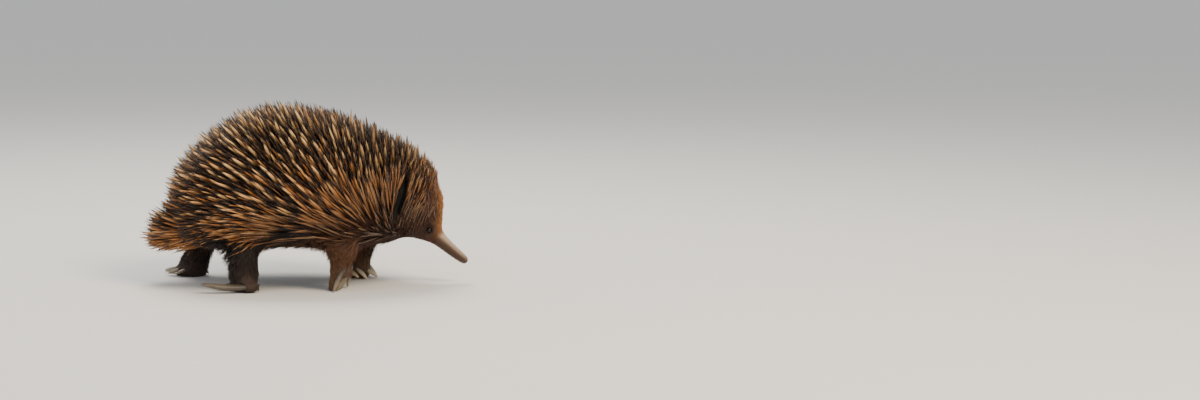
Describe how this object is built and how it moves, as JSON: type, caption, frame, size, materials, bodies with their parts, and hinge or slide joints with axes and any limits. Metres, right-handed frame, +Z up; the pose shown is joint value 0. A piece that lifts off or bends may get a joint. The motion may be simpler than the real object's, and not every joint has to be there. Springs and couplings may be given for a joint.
{
  "type": "echidna",
  "caption": "Life-size still model of a short-beaked echidna in mid-stride, with quilled back, bill, clawed feet and flat soles.",
  "frame": {"origin": "on the floor, under the middle of the box round the whole animal", "axes": "+X forwards to the tip of the bill, +Y to the animal's own left, +Z up"},
  "size_m": [0.3911, 0.2278, 0.2211],
  "materials": {
    "coat": "cream and dark quills over dark brown fur",
    "fur": "short dark brown fur",
    "face": "short rufous brown fur",
    "bill": "bare grey-brown skin",
    "claw": "worn horn",
    "eye": "wet, near black",
    "ear": "bare dark skin"
  },
  "bodies": {
    "root": {"bill": "bill", "head": "face", "neck": "coat", "trunk": "coat", "tail": "coat", "eye_right": "eye", "ear_right": "ear", "eye_left": "eye", "ear_left": "ear", "foreleg_right": "fur", "forefoot_right": "fur", "forefoot_right_claw_1": "claw", "forefoot_right_claw_2": "claw", "forefoot_right_claw_3": "claw", "forefoot_right_claw_4": "claw", "forefoot_right_claw_5": "claw", "foreleg_left": "fur", "forefoot_left": "fur", "forefoot_left_claw_1": "claw", "forefoot_left_claw_2": "claw", "forefoot_left_claw_3": "claw", "forefoot_left_claw_4": "claw", "forefoot_left_claw_5": "claw", "hindleg_right": "fur", "hindfoot_right": "fur", "hindfoot_right_claw_1": "claw", "hindfoot_right_claw_2": "claw", "hindfoot_right_claw_3": "claw", "hindfoot_right_claw_4": "claw", "hindfoot_right_claw_5": "claw", "hindleg_left": "fur", "hindfoot_left": "fur", "hindfoot_left_claw_1": "claw", "hindfoot_left_claw_2": "claw", "hindfoot_left_claw_3": "claw", "hindfoot_left_claw_4": "claw", "hindfoot_left_claw_5": "claw"}
  },
  "joints": []
}
